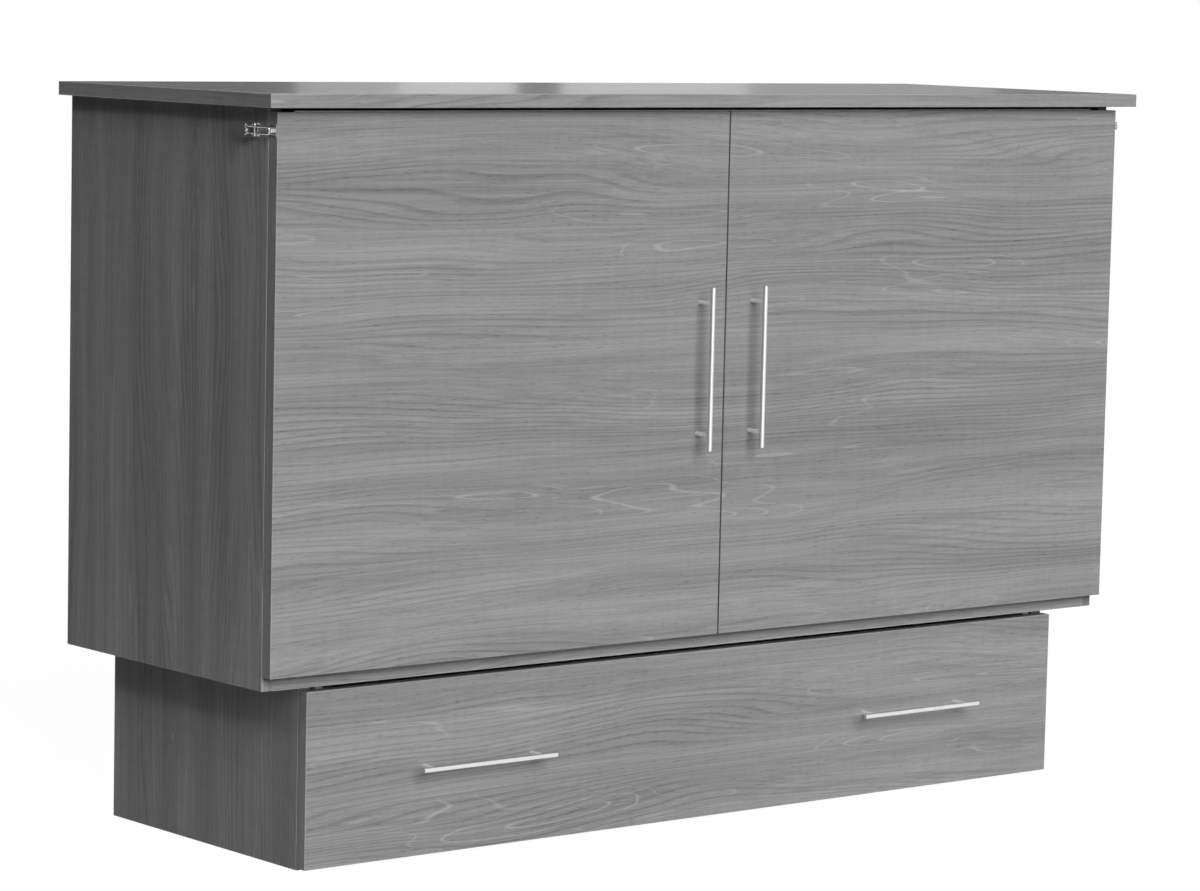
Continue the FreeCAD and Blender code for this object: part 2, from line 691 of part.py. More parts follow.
def make_latch_lever():
    """A cover over two cheeks; its free end is rounded for the thumb."""
    cover_half = "(latch_width / 2 + lever_overlap)"
    back = "latch_pivot_back + lever_length"
    x = (out("lever_out + latch_sheet_thickness"), out("lever_out"))
    cover = box("lever_cover", x, ("bail_back + lever_lip", f"{back} - lever_corner_radius"),
                latch_heights(cover_half))
    end = box("lever_end", x, (f"{back} - lever_corner_radius", back),
              latch_heights(f"{cover_half} - lever_corner_radius"))
    corners = [rod(f"lever_corner_{n}", "x", "lever_corner_radius", "latch_sheet_thickness", x[0],
                   f"{back} - lever_corner_radius",
                   f"{LATCH_HEIGHT} + {sign} * ({cover_half} - lever_corner_radius)")
               for n, sign in enumerate((-1, 1))]
    cheeks = latch_sheets("lever_cheek", LEVER_CHEEK, (out("lever_out"), out("latch_pivot_out")),
                          ("latch_pivot_back", "bail_back + 2 * lever_lip"), "lever_eye_radius")
    bores = [
        latch_bore("lever_pin_hole", "latch_pin_radius + axle_running_gap"),
        rod("lever_bail_hole", "z", "bail_radius + axle_running_gap", "latch_width",
            out("bail_out"), "bail_back", f"{LATCH_HEIGHT} - latch_width / 2"),
    ]
    whole = fuse("lever_whole", [cover, end] + corners + cheeks)
    keep_pair("latch_lever", cut("latch_lever_shape", whole, bores))


# A quarter bend of the bail's wire lies in the plane across "out"; it is given by the
# turn, in degrees, of its first end round its centre: 0 points back, 90 points up.
def wire_bend(name, bend_radius, first, y, z):
    bend = doc.addObject("Part::Torus", name)
    bend.setExpression("Radius1", bound(bend_radius))
    bend.setExpression("Radius2", bound("bail_radius"))
    bend.Angle3 = 90
    # local X, Y and Z become back, up and right
    bend.Placement = FreeCAD.Placement(
        FreeCAD.Vector(),
        FreeCAD.Rotation(FreeCAD.Vector(1, 1, 1), 120)
        * FreeCAD.Rotation(FreeCAD.Vector(0, 0, 1), first))
    place(bend, out("bail_out"), y, z)
    return bend


def make_latch_bail():
    """One bent wire: a hook end across the keeper, two sides, and ends turned out into
    the lever's cheeks."""
    x = out("bail_out")
    front = "(bail_front + bail_corner_radius)"
    back = "(bail_back - bail_end_radius)"
    wires = [rod("bail_hook_wire", "z", "bail_radius", "2 * (bail_half_height - bail_corner_radius)",
                 x, "bail_front", f"{LATCH_HEIGHT} - bail_half_height + bail_corner_radius")]
    for n, sign in enumerate((-1, 1)):
        z = f"{LATCH_HEIGHT} + {sign} * bail_half_height"
        wires.append(rod(f"bail_side_wire_{n}", "y", "bail_radius", f"{back} - {front}", x, front, z))
        wires.append(wire_bend(f"bail_corner_{n}", "bail_corner_radius", 180 if sign < 0 else 90,
                               front, f"{z} - {sign} * bail_corner_radius"))
        wires.append(wire_bend(f"bail_end_{n}", "bail_end_radius", 0 if sign < 0 else 270,
                               back, f"{z} + {sign} * bail_end_radius"))
        tip = f"({LEVER_CHEEK} - bail_half_height - bail_end_radius)"
        low = (f"{LATCH_HEIGHT} - {LEVER_CHEEK}" if sign < 0
               else f"{LATCH_HEIGHT} + {LEVER_CHEEK} - {tip}")
        wires.append(rod(f"bail_tip_{n}", "z", "bail_radius", tip, x, "bail_back", low))
    keep_pair("latch_bail", fuse("latch_bail_shape", wires))


def make_latch_keeper():
    plate = box("keeper_flat", (out("latch_sheet_thickness"), out("0")),
                ("keeper_plate_inset", "board_thickness - keeper_plate_inset"),
                latch_heights("latch_width / 2"))
    web = box("keeper_web", (out("keeper_out"), out("0")),
              ("keeper_web_back", "keeper_web_back + latch_sheet_thickness"),
              latch_heights("keeper_half_height"))
    lip = box("keeper_lip", (out("keeper_out"), out("keeper_out - latch_sheet_thickness")),
              ("keeper_lip_front", "keeper_web_back + latch_sheet_thickness"),
              latch_heights("keeper_half_height"))
    keep_pair("latch_keeper", fuse("keeper_shape", [plate, web, lip]))


def make_mattress():
    """Three foam sections standing on the deck between the foot panel and the back."""
    back = f"({BACK_INNER} - mattress_clearance)"
    x = (f"-{INNER} + mattress_side_gap", f"{INNER} - mattress_side_gap")
    for n, name in enumerate(("back", "middle", "front")):
        y = f"({back} - {n} * ({SECTION_THICKNESS} + section_gap))"
        block = box(f"section_{name}_block", x, (f"{y} - {SECTION_THICKNESS}", y),
                    (MATTRESS_FOOT, MATTRESS_TOP))
        doc.recompute()
        section = doc.addObject("Part::Fillet", f"section_{name}_shape")
        section.Base = block
        radius = SIZES["section_radius"]
        section.Edges = [(number, radius, radius) for number in ALL_EDGES]
        keep(f"mattress_section_{name}", section)


make_slab()
make_sides()
make_back()
make_deck()
make_cleats()
cut_slab_for_screws()
make_base()
make_front()
make_bumpers()
make_foot()
make_hinges()
make_drawer()
make_casters()
make_latch_plate()
make_latch_lever()
make_latch_bail()
make_latch_keeper()
make_mattress()
doc.recompute()

for item in doc.Objects:
    if "Invalid" in item.State or "Error" in item.State:
        raise RuntimeError(f"{item.Name} failed: {item.State}")

os.makedirs("parts", exist_ok=True)
for label, piece in parts.items():
    if piece.Shape.isNull() or not piece.Shape.isValid():
        raise RuntimeError(f"{label} has no valid shape")
    piece.Shape.exportStep(os.path.join("parts", f"{label}.step"))
print(len(parts), "sub-parts written")
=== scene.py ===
"""Looks of the closed cabinet bed: grey wood-grain boards, metal fittings and quilted foam."""

import math

import bpy
import numpy as np
from mathutils import Matrix, Vector


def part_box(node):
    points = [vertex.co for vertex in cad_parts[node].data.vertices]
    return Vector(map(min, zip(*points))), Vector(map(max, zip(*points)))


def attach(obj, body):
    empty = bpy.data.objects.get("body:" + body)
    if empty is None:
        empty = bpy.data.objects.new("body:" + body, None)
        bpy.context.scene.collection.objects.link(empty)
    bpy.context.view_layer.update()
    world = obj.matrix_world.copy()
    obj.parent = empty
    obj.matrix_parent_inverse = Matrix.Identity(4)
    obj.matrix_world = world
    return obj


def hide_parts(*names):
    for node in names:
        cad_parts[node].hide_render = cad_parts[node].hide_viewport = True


bl_info = {
    "name": "Cabinet bed",
    "version": (1, 0, 0),
    "blender": (4, 5, 0),
    "location": "View3D > Sidebar > Cabinet bed",
    "description": "Finishes the boards, fittings and foam sections of a closed cabinet bed",
    "category": "Object",
}

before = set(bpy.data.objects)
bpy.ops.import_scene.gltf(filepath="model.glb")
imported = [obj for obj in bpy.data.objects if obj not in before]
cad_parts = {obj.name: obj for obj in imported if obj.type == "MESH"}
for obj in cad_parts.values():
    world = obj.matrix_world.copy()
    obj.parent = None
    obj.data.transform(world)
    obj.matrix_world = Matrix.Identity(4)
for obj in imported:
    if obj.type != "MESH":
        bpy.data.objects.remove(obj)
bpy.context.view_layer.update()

MM = 0.001

# Which way the printed grain runs on each board and on the band glued to its ends, and
# how far its pattern is shifted, so that no two boards show the same stretch of wood.
BOARD_GRAIN = {
    "front_panel": ("x", "z", 0.0),
    "foot_panel": ("x", "z", 3.1),
    "top_slab": ("x", "y", 5.3),
    "deck": ("x", "y", 7.9),
    "back_panel": ("x", "z", 11.4),
    "drawer_face": ("x", "z", 13.7),
    "base_back": ("x", "z", 17.2),
    "side_panel_left": ("z", "y", 19.6),
    "side_panel_right": ("z", "y", 23.5),
    "base_side_left": ("z", "y", 29.3),
    "base_side_right": ("z", "y", 31.8),
    "slab_cleat_left": ("y", "x", 37.1),
    "slab_cleat_right": ("y", "x", 41.9),
}
# The plain wood of the drawer's box and of the dowels: which way its grain runs, and its
# shift.
PLAIN_WOOD = {
    "drawer_side_left": ("y", 2.2),
    "drawer_side_right": ("y", 4.9),
    "drawer_back": ("x", 8.3),
    "drawer_floor": ("x", 12.6),
    "deck_dowels": ("x", 6.1),
}
SIDES = ("left", "right")

# Where each noise of the printed grain starts, so that no two line up.
GRAIN_STARTS = {"wave": 0.0, "bands": 0.0, "drift": 2.1, "crowd": 4.3, "hairs": 6.7,
                "flecks": 8.9, "flame": 1.7, "region": 3.3, "shimmer": 5.1}
# Heights of two slow noises, in heights of a band.
DRIFT_SPREAD = 1.2
CROWD_SPREAD = 1.4
# Length and height, in metres, of the stretches that hold flames and of the cross shimmer.
REGION_SIZE = (0.7, 0.14)
SHIMMER_SIZE = (0.012, 0.09)
# Where each mask starts and where it is full. A growth line darkens from the middle of its
# saw wave and clears over the last tenth.
LINE_RISE = (0.50, 0.90)
LINE_FALL = (0.90, 1.0)
CROWDED = (0.40, 0.62)
PORE = (0.56, 0.78)
OPEN_PORE = (0.6, 0.8)
REGION = (0.46, 0.54)
FLAME_PEAK = (0.56, 0.66)
FLAME_LINE = (0.82, 1.0)
END_FACE = (0.80, 0.85)
# How many level lines a flame's noise has from 0 to 1.
FLAME_LEVELS = 13.0

# Sizes of noises along and across the grain, in metres.
OPEN_GRAIN = (0.4, 0.006)
OPEN_PORES = (0.02, 0.0008)
METAL_CLOUD = (0.03, 0.03)
PLASTIC_CLOUD = (0.04, 0.04)
ORANGE_PEEL = (0.0015, 0.0015)
COVER_FUZZ = (0.004, 0.004)
COVER_SHADE = (0.2, 0.2)
FLOOR_CLOUD = (0.5, 0.5)
CARD_CLOUD = (1.0, 1.0)
# Relief of each finish: its height in metres, and how strongly it shows.
PRINT_RELIEF = (0.15 * MM, 0.5)
OPEN_RELIEF = (0.1 * MM, 0.5)
SCRATCH_RELIEF = (0.01 * MM, 0.5)
PEEL_RELIEF = (0.04 * MM, 0.4)
KNIT_RELIEF = (0.25 * MM, 0.7)
# How far single features stand up or sink, in heights of their finish's relief.
HAIR_RISE = 0.6
PORE_SINK = 0.4
OPEN_PORE_RISE = 0.5
LOOP_RISE = 0.5
# How far noises swing the tone and the roughness of each finish about their middle.
PRINT_GLOSS_SWING = 0.075
OPEN_GLOSS_SWING = 0.05
METAL_TONE_SWING = 0.06
METAL_GLOSS_SWING = 0.04
SCRATCH_GLOSS_SWING = 0.1
PLASTIC_TONE_SWING = 0.08
PLASTIC_GLOSS_SWING = 0.075
FUZZ_TONE_SWING = 0.05
FUZZ_GLOSS_SWING = 0.05
COVER_TONE_SWING = 0.04
FLOOR_TONE_SWING = 0.02
FLOOR_GLOSS_SWING = 0.025
CARD_TONE_SWING = 0.1

# Moulded pieces: colour and roughness.
GUIDE_PLASTIC = ((0.80, 0.80, 0.78), 0.45)
CLEAR_PAD = ((0.75, 0.76, 0.76), 0.25)
WHEEL_PLASTIC = ((0.045, 0.045, 0.047), 0.55)

# The cover's knit: size of its loops in metres, and how much its second row of loops leans.
LOOP_SIZE = 1.5 * MM
LOOP_LEAN = 0.6
# Quilted sections, in metres: how far in from its rim a panel's quilting starts to fade,
# and how far from the middle the border's valleys run.
QUILT_FADE = 0.05
BORDER_VALLEY = 0.024
# How deep two crossed valleys sink together, and a valley of the border, in depths of one
# of the panel's.
CROSSING_DEPTH = 1.15
BORDER_DEPTH = 0.5
# How many rows round a padded section's edges, and to how many decimals of a metre two
#  of its points agree that are welded.
EDGE_ROWS = 6
WELD_DECIMALS = 7
# The piping's loop: the radius of its corners in the section's roundings, how far out it
# stands along the panel and off it in its own radii, and the points of a corner and round
# the tube.
PIPING_CORNER = 1.2
PIPING_OUT = 0.2
PIPING_PROUD = 0.1
CORNER_POINTS = 9
TUBE_POINTS = 10


# ---------------------------------------------------------------- sizes and colours

def length(name, text, default, **more):
    return bpy.props.FloatProperty(name=name, description=text, default=default,
                                   unit="LENGTH", precision=4, **more)


def factor(name, text, default, **more):
    return bpy.props.FloatProperty(name=name, description=text, default=default,
                                   subtype="FACTOR", min=0.0, max=1.0, **more)


def colour(name, text, default):
    return bpy.props.FloatVectorProperty(name=name, description=text, default=default,
                                         size=3, subtype="COLOR", min=0.0, max=1.0)


class BoardLooks(bpy.types.PropertyGroup):
    """The boards' printed grain, and the drawer box's plain one"""
    grey: colour("Laminate", "Colour of the printed boards", (0.333, 0.328, 0.331))
    wave_height: length("Wave height", "How far the growth lines wander off their course", 0.070)
    wave_length: length("Wave length", "Length over which the growth lines wander", 0.85)
    wave_spread: length("Wave spread", "Height over which neighbouring lines wander together", 0.14)
    band_height: length("Band height", "Height of the broad darker bands", 0.045)
    band_length: length("Band length", "Length of the broad darker bands", 1.1)
    band_depth: factor("Band depth", "How much the bands darken the board", 0.40)
    ring_pitch: length("Ring pitch", "Usual distance between two dark growth lines", 0.0082)
    ring_drift: bpy.props.FloatProperty(
        name="Ring drift", description="How many lines' widths the spacing drifts by", default=4.4)
    ring_depth: factor("Ring depth", "How much the growth lines darken the board", 0.21)
    hair_height: length("Hair height", "Spacing of the hair-fine lines", 0.0026)
    hair_length: length("Hair length", "Length of the hair-fine lines", 0.45)
    hair_depth: factor("Hair depth", "How much the hair-fine lines show", 0.28)
    fleck_height: length("Fleck height", "Height of the short pores", 0.0014)
    fleck_length: length("Fleck length", "Length of the short pores", 0.014)
    fleck_depth: factor("Fleck depth", "How much the pores show", 0.22)
    figure_height: length("Figure height", "Height of a flame figure", 0.034)
    figure_length: length("Figure length", "Length of a flame figure", 0.50)
    figure_light: factor("Figure light", "How much a flame's outlines lighten the board", 0.34)
    shimmer: factor("Shimmer", "How much the cross-grain shimmer shows", 0.045)
    # Painted highlight: a pale line lightens every edge of a board, standing in for light caught by
    # the banded edges.
    edge_width: length("Edge width", "Width of the pale line along a banded edge", 0.0016)
    painted_edge_highlight: factor("Edge light", "How much the banded edges lighten the board", 0.30)
    roughness: factor("Roughness", "Roughness of the satin print", 0.38)
    gloss: factor("Gloss", "Specular level of the upright boards", 0.08)
    slab_gloss: factor("Slab gloss", "Specular level of the slab top", 0.19)
    slab_roughness: factor("Slab roughness", "Roughness of the slab top", 0.19)
    plain_colour: colour("Drawer box", "Colour of the plain wood", (0.56, 0.50, 0.41))
    plain_grain_depth: factor("Plain grain", "How much the plain wood's grain shows", 0.175)
    plain_pore_depth: factor("Plain pores", "How much the plain wood's pores show", 0.15)
    plain_roughness: factor("Plain roughness", "Roughness of the plain wood", 0.62)


class MetalLooks(bpy.types.PropertyGroup):
    """The pulls, latches, hinges, casters and screws"""
    nickel: colour("Nickel", "Colour of the bar pulls", (0.74, 0.735, 0.725))
    chrome: colour("Chrome", "Colour of the latches' plating", (0.74, 0.74, 0.73))
    steel: colour("Steel", "Colour of hinges and casters", (0.50, 0.50, 0.51))
    zinc: colour("Zinc", "Colour of the screws", (0.60, 0.60, 0.58))
    brush_width: length("Brush width", "Width of a brushed scratch", 0.0002)
    brush_length: length("Brush length", "Length of a brushed scratch", 0.02)
    upright_roughness: factor("Upright bars", "Roughness of the front's bars", 0.34)
    level_roughness: factor("Level bars", "Roughness of the drawer's bars", 0.28)
    post_roughness: factor("Posts", "Roughness of the pulls' posts", 0.74)
    plating_roughness: factor("Plating", "Roughness of the latches", 0.16)
    hinge_roughness: factor("Hinges", "Roughness of the hinges", 0.32)
    caster_roughness: factor("Caster steel", "Roughness of the caster forks and axles", 0.40)
    screw_roughness: factor("Screw heads", "Roughness of the screws", 0.38)


class FoamLooks(bpy.types.PropertyGroup):
    """The quilted foam sections"""
    cover: colour("Cover", "Colour of the quilted cover", (0.78, 0.76, 0.72))
    knit_tone: factor("Knit tone", "How much of the cover's colour the knit keeps", 0.95)
    # Painted shade: the knit's wave darkens the cover in the hollows between its loops and lightens
    # their crowns.
    painted_knit_shade: factor("Knit depth", "How much the knitted loops show", 0.035)
    cover_roughness: factor("Roughness", "Roughness of the cover", 0.86)
    cover_sheen: factor("Sheen", "Sheen of the cover", 0.25)
    pitch: length("Quilt pitch", "Distance between two stitched lines", 0.098)
    seam_width: length("Seam width", "Half width of a stitched valley", 0.012)
    seam_depth: length("Seam depth", "Depth of a stitched valley", 0.007)
    crown: length("Crown", "How far the panels fall from their middle to their rim", 0.005)
    waist: length("Waist", "How far the border draws in between its corners", 0.004)
    rounding: length("Rounding", "Radius of the section's edges", 0.024)
    piping: length("Piping", "Radius of the piping round each panel", 0.0032)
    grid: length("Grid", "Distance between two points of the surface", 0.009)


class StudioLooks(bpy.types.PropertyGroup):
    """The light, the floor and the lens"""
    key_strength: bpy.props.FloatProperty(
        name="Key light", description="Strength of the broad light from the front", default=2.75)
    side_strength: bpy.props.FloatProperty(
        name="Side light", description="Strength of the light from the upper left", default=0.28)
    rear_strength: bpy.props.FloatProperty(
        name="Rear light", description="Strength of the broad light from behind", default=1.7)
    fill_strength: bpy.props.FloatProperty(
        name="Fill", description="Brightness of the room round the object", default=0.03)
    floor_grey: factor("Floor", "Colour of the pale floor", 0.16)
    floor_glow: factor("Floor glow", "Brightness that the camera sees on the floor", 0.94)
    focal_length: bpy.props.FloatProperty(
        name="Focal length", description="Lens of the camera, in millimetres",
        default=128.37, subtype="DISTANCE_CAMERA")


# ------------------------------------------------------------------- shader maths

class Signal:
    """A shader socket in a Python expression: each operator adds its own Math node."""

    def __init__(self, shader, socket):
        self.shader = shader
        self.socket = socket

    def math(self, operation, *others):
        return self.shader.node("ShaderNodeMath", {"operation": operation}, [self, *others])

    def __add__(self, other):
        return self.math("ADD", other)

    def __sub__(self, other):
        return self.math("SUBTRACT", other)

    def __rsub__(self, other):
        return self.shader.node("ShaderNodeMath", {"operation": "SUBTRACT"}, [other, self])

    def __mul__(self, other):
        return self.math("MULTIPLY", other)

    __radd__ = __add__
    __rmul__ = __mul__

    def smaller(self, other):
        return self.math("MINIMUM", other)

    def larger(self, other):
        return self.math("MAXIMUM", other)

    def size(self):
        return self.math("ABSOLUTE")

    def part(self):
        """What is left after the whole number is taken off."""
        return self.math("FRACT")

    def step(self, low, high):
        """Rises smoothly from 0 at low to 1 at high."""
        return self.shader.node(
            "ShaderNodeMapRange", {"interpolation_type": "SMOOTHSTEP"},
            {"Value": self, "From Min": low, "From Max": high})


class Shader:
    """The nodes of a new material, or of a world. node() adds one: its settings first, then
    its sockets."""

    def __init__(self, name, world=None):
        self.owner = world or bpy.data.materials.new(name)
        self.owner.use_nodes = True
        self.tree = self.owner.node_tree
        self.tree.nodes.clear()

    def node(self, kind, settings=None, sockets=None, out=0):
        made = self.tree.nodes.new(kind)
        for key, value in (settings or {}).items():
            setattr(made, key, value)
        pairs = sockets.items() if isinstance(sockets, dict) else enumerate(sockets or [])
        for key, value in pairs:
            if isinstance(value, Signal):
                self.tree.links.new(value.socket, made.inputs[key])
            else:
                made.inputs[key].default_value = value
        return Signal(self, made.outputs[out]) if made.outputs else None

    def place(self):
        """The point's place on the object, in metres."""
        return self.node("ShaderNodeTexCoord", out="Object")

    def axes(self, vector):
        """The vector's three numbers."""
        first = self.node("ShaderNodeSeparateXYZ", None, [vector])
        return [Signal(self, socket) for socket in first.socket.node.outputs]

    def stretched(self, along, across, axis, shift=0.0, place=None):
        """Coordinates that change slowly along the grain and fast across it."""
        scale = [1 / across] * 3
        scale["xyz".index(axis)] = 1 / along
        return self.node("ShaderNodeMapping", {"vector_type": "POINT"},
                         {"Vector": place or self.place(),
                          "Location": (shift, shift / 2, -shift), "Scale": scale})

    def moved(self, place, amount, axis):
        """The place, moved by an amount on both axes across the grain."""
        way = [1.0, 1.0, 1.0]
        way["xyz".index(axis)] = 0.0
        offset = self.node("ShaderNodeVectorMath", {"operation": "SCALE"},
                           {0: tuple(way), "Scale": amount})
        return self.node("ShaderNodeVectorMath", {"operation": "ADD"}, {0: place, 1: offset})

    def noise(self, vector, detail=2.0, roughness=0.5):
        return self.node("ShaderNodeTexNoise", None,
                         {"Vector": vector, "Scale": 1.0, "Detail": detail,
                          "Roughness": roughness})

    def tint(self, tone, plain):
        """The plain colour made lighter or darker by a tone."""
        return self.node("ShaderNodeVectorMath", {"operation": "SCALE"},
                         {0: tuple(plain), "Scale": tone})

    def bump(self, height, distance, strength):
        return self.node("ShaderNodeBump", None,
                         {"Height": height, "Distance": distance, "Strength": strength})

    def finish(self, **sockets):
        """Ends the material in one Principled surface. A socket's name is written with
        underscores for its spaces."""
        names = {key.replace("_", " "): value for key, value in sockets.items()}
        surface = self.node("ShaderNodeBsdfPrincipled", None, names)
        self.node("ShaderNodeOutputMaterial", None, {"Surface": surface})
        return self.owner


def swing(noise, amount):
    """A noise about its middle, from -amount to +amount."""
    return (noise - 0.5) * (2.0 * amount)


# ----------------------------------------------------------------------- finishes

def painted_highlight_edges(shader, node, width):
    """1 on the board's twelve edges, 0 on its faces: where two of the three coordinates
    lie within a width of the board's own limits. It masks the painted edge highlight."""
    low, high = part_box(node)
    near = []
    for coordinate, a, b in zip(shader.axes(shader.place()), low, high):
        off_middle = (coordinate - (a + b) / 2).size()
        half = (b - a) / 2
        near.append(off_middle.step(half - width, half - width / 4))
    x, y, z = near
    return x.smaller(y).larger(y.smaller(z)).larger(z.smaller(x))


def banded_place(shader, axis, end_axis):
    """The point's place, with two axes swapped on the faces at the grain's ends, where the
    glued band's own grain runs along the edge."""
    x, y, z = shader.axes(shader.place())
    swapped = dict(zip("xyz", (x, y, z)))
    swapped[axis], swapped[end_axis] = swapped[end_axis], swapped[axis]
    facing = dict(zip("xyz", shader.axes(shader.node("ShaderNodeTexCoord", out="Normal"))))
    at_end = facing[axis].size().step(*END_FACE)
    turned = shader.node("ShaderNodeCombineXYZ", None, list(swapped.values()))
    # The Mix node's two vectors are its sockets 4 and 5, and their mix is its output 1.
    return shader.node("ShaderNodeMix", {"data_type": "VECTOR"},
                       {"Factor": at_end, 4: shader.place(), 5: turned}, out=1)


def growth_lines(across, drift, looks):
    """Dark lines: a saw wave across the grain darkens slowly and clears at once, and a slow
    noise drifts its spacing."""
    saw = (across * (1 / looks.ring_pitch) + drift * looks.ring_drift).part()
    return saw.step(*LINE_RISE) * (1.0 - saw.step(*LINE_FALL))


def flame_outlines(flame):
    """Pale level lines of a noise, near its peaks."""
    off_level = ((flame * FLAME_LEVELS).part() - 0.5).size() * 2.0
    return off_level.step(*FLAME_LINE) * flame.step(*FLAME_PEAK)


def laminate(node, axis, end_axis, shift, looks):
    """Printed wood grain. A slow noise moves the place across the grain, so that all lines
    wander together. Bands, hair lines and pores are noise at three stretches of the moved
    place, and growth lines crowd where one more noise is high."""
    shader = Shader(f"{node}_grain")
    place = banded_place(shader, axis, end_axis)

    def grain(name, along, across, place=place, **settings):
        start = shift + GRAIN_STARTS[name]
        return shader.noise(shader.stretched(along, across, axis, start, place), **settings)

    wave = grain("wave", looks.wave_length, looks.wave_spread, detail=2.0, roughness=0.4)
    course = shader.moved(place, (wave - 0.5) * looks.wave_height, axis)
    bands = grain("bands", looks.band_length, looks.band_height, course,
                  detail=3.0, roughness=0.6)
    drift = grain("drift", looks.band_length, looks.band_height * DRIFT_SPREAD, course,
                  detail=0.0)
    crowd = grain("crowd", looks.band_length, looks.band_height * CROWD_SPREAD, course,
                  detail=1.0)
    hairs = grain("hairs", looks.hair_length, looks.hair_height, course, detail=2.0)
    flecks = grain("flecks", looks.fleck_length, looks.fleck_height, course, detail=1.0)
    flame = grain("flame", looks.figure_length, looks.figure_height, course,
                  detail=0.6, roughness=0.3)
    region = grain("region", *REGION_SIZE, detail=0.0)
    shimmer = grain("shimmer", *SHIMMER_SIZE, detail=1.0)
    across = sum(value for name, value in zip("xyz", shader.axes(course)) if name != axis)
    dark_line = growth_lines(across, drift, looks) * crowd.step(*CROWDED)
    tone = (1.0
            + swing(bands, looks.band_depth)
            - dark_line * (hairs + 0.5) * looks.ring_depth
            + swing(hairs, looks.hair_depth)
            - flecks.step(*PORE) * looks.fleck_depth
            + swing(shimmer, looks.shimmer)
            + flame_outlines(flame) * region.step(*REGION) * looks.figure_light
            # Painted highlight: the board's edges are lightened where light would catch the
            # banding.
            + painted_highlight_edges(shader, node, looks.edge_width) * looks.painted_edge_highlight)
    on_slab = node == "top_slab"
    return shader.finish(
        Base_Color=shader.tint(tone, looks.grey),
        Roughness=(looks.slab_roughness if on_slab else looks.roughness)
        + swing(hairs, PRINT_GLOSS_SWING),
        Specular_IOR_Level=looks.slab_gloss if on_slab else looks.gloss,
        Normal=shader.bump(hairs * HAIR_RISE - flecks * PORE_SINK, *PRINT_RELIEF))


def plain_wood(node, axis, shift, looks):
    """Plain wood: pale, with a soft open grain and short dark pores."""
    shader = Shader(f"{node}_plain")
    grain = shader.noise(shader.stretched(*OPEN_GRAIN, axis, shift), detail=4.0, roughness=0.6)
    pores = shader.noise(shader.stretched(*OPEN_PORES, axis, shift), detail=1.0)
    tone = (1.0
            + swing(grain, looks.plain_grain_depth)
            - pores.step(*OPEN_PORE) * looks.plain_pore_depth)
    return shader.finish(
        Base_Color=shader.tint(tone, looks.plain_colour),
        Roughness=looks.plain_roughness + swing(grain, OPEN_GLOSS_SWING),
        Normal=shader.bump(grain + pores * OPEN_PORE_RISE, *OPEN_RELIEF))


def brushed(name, plain, axis, looks, roughness):
    """Metal brushed along an axis: fine scratches change its gloss and its height."""
    shader = Shader(name)
    scratch = shader.noise(shader.stretched(looks.brush_length, looks.brush_width, axis))
    cloud = shader.noise(shader.stretched(*METAL_CLOUD, axis))
    return shader.finish(
        Base_Color=shader.tint(1.0 + swing(cloud, METAL_TONE_SWING), plain),
        Metallic=1.0,
        Roughness=(roughness + swing(scratch, SCRATCH_GLOSS_SWING)
                   + swing(cloud, METAL_GLOSS_SWING)),
        Normal=shader.bump(scratch, *SCRATCH_RELIEF))


def moulded(name, plain, roughness):
    """Moulded plastic: a faint orange-peel surface."""
    shader = Shader(name)
    peel = shader.noise(shader.stretched(*ORANGE_PEEL, "x"))
    cloud = shader.noise(shader.stretched(*PLASTIC_CLOUD, "x"))
    return shader.finish(
        Base_Color=shader.tint(1.0 + swing(cloud, PLASTIC_TONE_SWING), plain),
        Roughness=roughness + swing(cloud, PLASTIC_GLOSS_SWING),
        Normal=shader.bump(peel, *PEEL_RELIEF))


def cover_cloth(looks):
    """Knitted cover: two crossed sine waves of loops under a fine fuzz. The loops' wave also
    darkens the colour where they sink, as painted shade.
    """
    shader = Shader("quilted_cover")
    x, y, z = shader.axes(shader.place())
    loops = 2 * math.pi / LOOP_SIZE
    knit = ((x + y) * loops).math("SINE") * ((z + y * LOOP_LEAN) * loops).math("SINE")
    fuzz = shader.noise(shader.stretched(*COVER_FUZZ, "x"), detail=3.0, roughness=0.7)
    shade = shader.noise(shader.stretched(*COVER_SHADE, "x"))
    # Painted shade: the knit darkens the colour where its loops sink, in step with their relief.
    tone = (looks.knit_tone + knit * looks.painted_knit_shade
            + swing(fuzz, FUZZ_TONE_SWING) + swing(shade, COVER_TONE_SWING))
    return shader.finish(
        Base_Color=shader.tint(tone, looks.cover),
        Roughness=looks.cover_roughness + swing(fuzz, FUZZ_GLOSS_SWING),
        Sheen_Weight=looks.cover_sheen,
        Normal=shader.bump(knit * LOOP_RISE + fuzz, *KNIT_RELIEF))


def dress(node, material):
    """Gives a node of the frame its finish, in each of its material slots."""
    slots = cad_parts[node].data.materials
    if not slots:
        slots.append(material)
    for number in range(len(slots)):
        slots[number] = material


# ------------------------------------------------------------------------ surfaces

def new_piece(name, points, faces, material, body):
    """Makes a piece of points and faces, in place, riding on a body."""
    mesh = bpy.data.meshes.new(name)
    mesh.from_pydata(points.tolist(), [], faces.tolist())
    mesh.polygons.foreach_set("use_smooth", np.ones(len(faces), dtype=bool))
    mesh.materials.append(material)
    mesh.update()
    piece = bpy.data.objects.new(name, mesh)
    bpy.context.scene.collection.objects.link(piece)
    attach(piece, body)
    return piece


def grid_faces(rows, columns, close_rows=False, close_columns=False):
    """Quads between neighbours of a grid of points, row by row."""
    index = np.arange(rows * columns).reshape(rows, columns)
    if close_rows:
        index = np.vstack([index, index[:1]])
    if close_columns:
        index = np.hstack([index, index[:, :1]])
    return np.stack([index[:-1, :-1], index[:-1, 1:], index[1:, 1:], index[1:, :-1]],
                    axis=-1).reshape(-1, 4)


